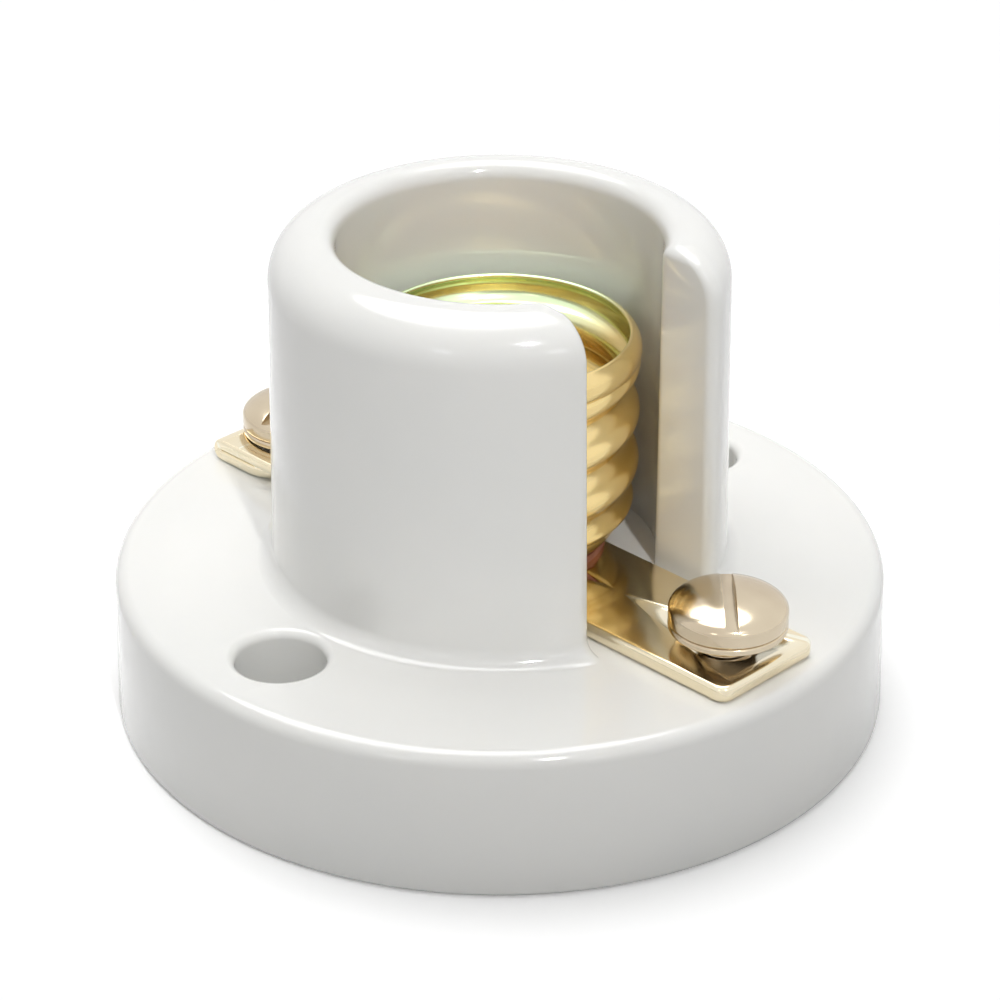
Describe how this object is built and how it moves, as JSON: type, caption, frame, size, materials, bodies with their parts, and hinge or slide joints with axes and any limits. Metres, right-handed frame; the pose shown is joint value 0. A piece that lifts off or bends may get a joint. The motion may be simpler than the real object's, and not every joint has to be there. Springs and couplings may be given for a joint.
{
  "type": "screw lamp holder",
  "caption": "Porcelain screw lamp holder: round base with fixing holes, slotted barrel, rolled brass screw shell, sprung centre contact and screw terminals.",
  "frame": {"origin": "centre of the flat underside of the round base", "axes": "+Z is the lamp's axis, pointing out of the socket's mouth; +X points to the centre-contact terminal and -X to the shell terminal; the two fixing holes lie on the Y axis"},
  "size_m": [0.041, 0.041, 0.0264],
  "materials": {
    "porcelain": "white glazed porcelain",
    "shell_brass": "bright rolled brass",
    "strip_brass": "bright drawn strip",
    "screw_brass": "bright turned",
    "button_brass": "turned",
    "rivet_brass": "plain",
    "bronze": "phosphor bronze strip",
    "steel": "zinc plated",
    "fibre": "vulcanised fibre"
  },
  "bodies": {
    "holder": {"porcelain_body": "porcelain", "screw_shell": "shell_brass", "shell_terminal": "strip_brass", "centre_terminal": "strip_brass", "contact_spring": "bronze", "insulating_plate": "fibre", "centre_rivet": "rivet_brass", "shell_rivet_left": "rivet_brass", "shell_rivet_right": "rivet_brass", "backing_washers": "steel", "centre_nut": "steel", "shell_nut": "steel"},
    "contact": {"contact_button": "button_brass"},
    "centre_clamp": {"centre_washer": "screw_brass"},
    "centre_driver": {"centre_screw": "screw_brass"},
    "shell_clamp": {"shell_washer": "screw_brass"},
    "shell_driver": {"shell_screw": "screw_brass"}
  },
  "joints": [
    {"name": "contact_press", "type": "slide", "parent": "holder", "child": "contact", "axis": [0, 0, 1], "range_m": [-0.001, 0], "stiffness_N_per_m": 2000, "deforming": ["contact_spring"]},
    {"name": "centre_clamp_lift", "type": "slide", "parent": "holder", "child": "centre_clamp", "axis": [0, 0, 1], "range_m": [-0.001, 0.0015]},
    {"name": "centre_screw_turn", "type": "hinge", "parent": "centre_clamp", "child": "centre_driver", "pos_m": [0.016, 0, 0.0103], "axis": [0, 0, 1], "range_deg": [-720.5, 1080.5]},
    {"name": "shell_clamp_lift", "type": "slide", "parent": "holder", "child": "shell_clamp", "axis": [0, 0, 1], "range_m": [0, 0.0025]},
    {"name": "shell_screw_turn", "type": "hinge", "parent": "shell_clamp", "child": "shell_driver", "pos_m": [-0.016, 0, 0.0097], "axis": [0, 0, 1], "range_deg": [-0.5, 1800.5]}
  ],
  "couplings": [
    {"joint": "centre_screw_turn", "follows": "centre_clamp_lift", "rad_per_m": 12566},
    {"joint": "shell_screw_turn", "follows": "shell_clamp_lift", "rad_per_m": 12566}
  ]
}
